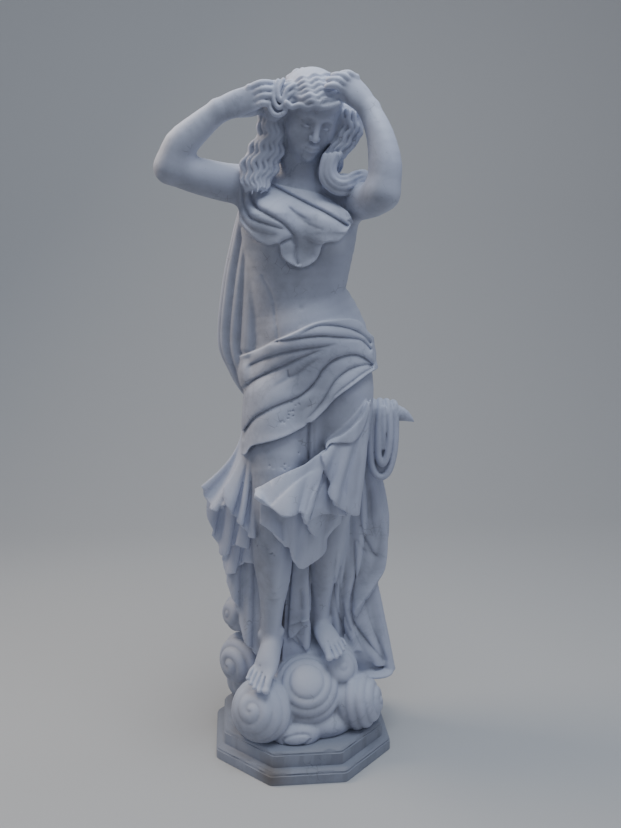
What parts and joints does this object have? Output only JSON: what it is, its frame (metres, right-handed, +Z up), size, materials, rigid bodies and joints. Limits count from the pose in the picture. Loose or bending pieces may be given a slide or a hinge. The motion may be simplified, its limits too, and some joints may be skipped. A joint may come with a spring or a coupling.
{
  "type": "garden statue of a draped woman",
  "caption": "White marble garden statue: a draped woman lifts her long hair with both hands and stands barefoot on curling clouds, on a low octagonal plinth.",
  "frame": {"origin": "centre of the plinth's underside, on the ground", "axes": "+Z up, -Y is the way the figure faces, +X is to the right of someone who stands in front and looks at her"},
  "size_m": [0.6491, 0.466, 1.7508],
  "materials": {
    "figure": "white marble with faint grey veins, rubbed smooth but not polished, a little weathered, with dust and soot in the folds",
    "plinth": "white marble with faint grey veins, honed, with water stains and a brown stain low on one front corner"
  },
  "bodies": {
    "root": {"figure": "figure", "plinth": "plinth"}
  },
  "joints": []
}
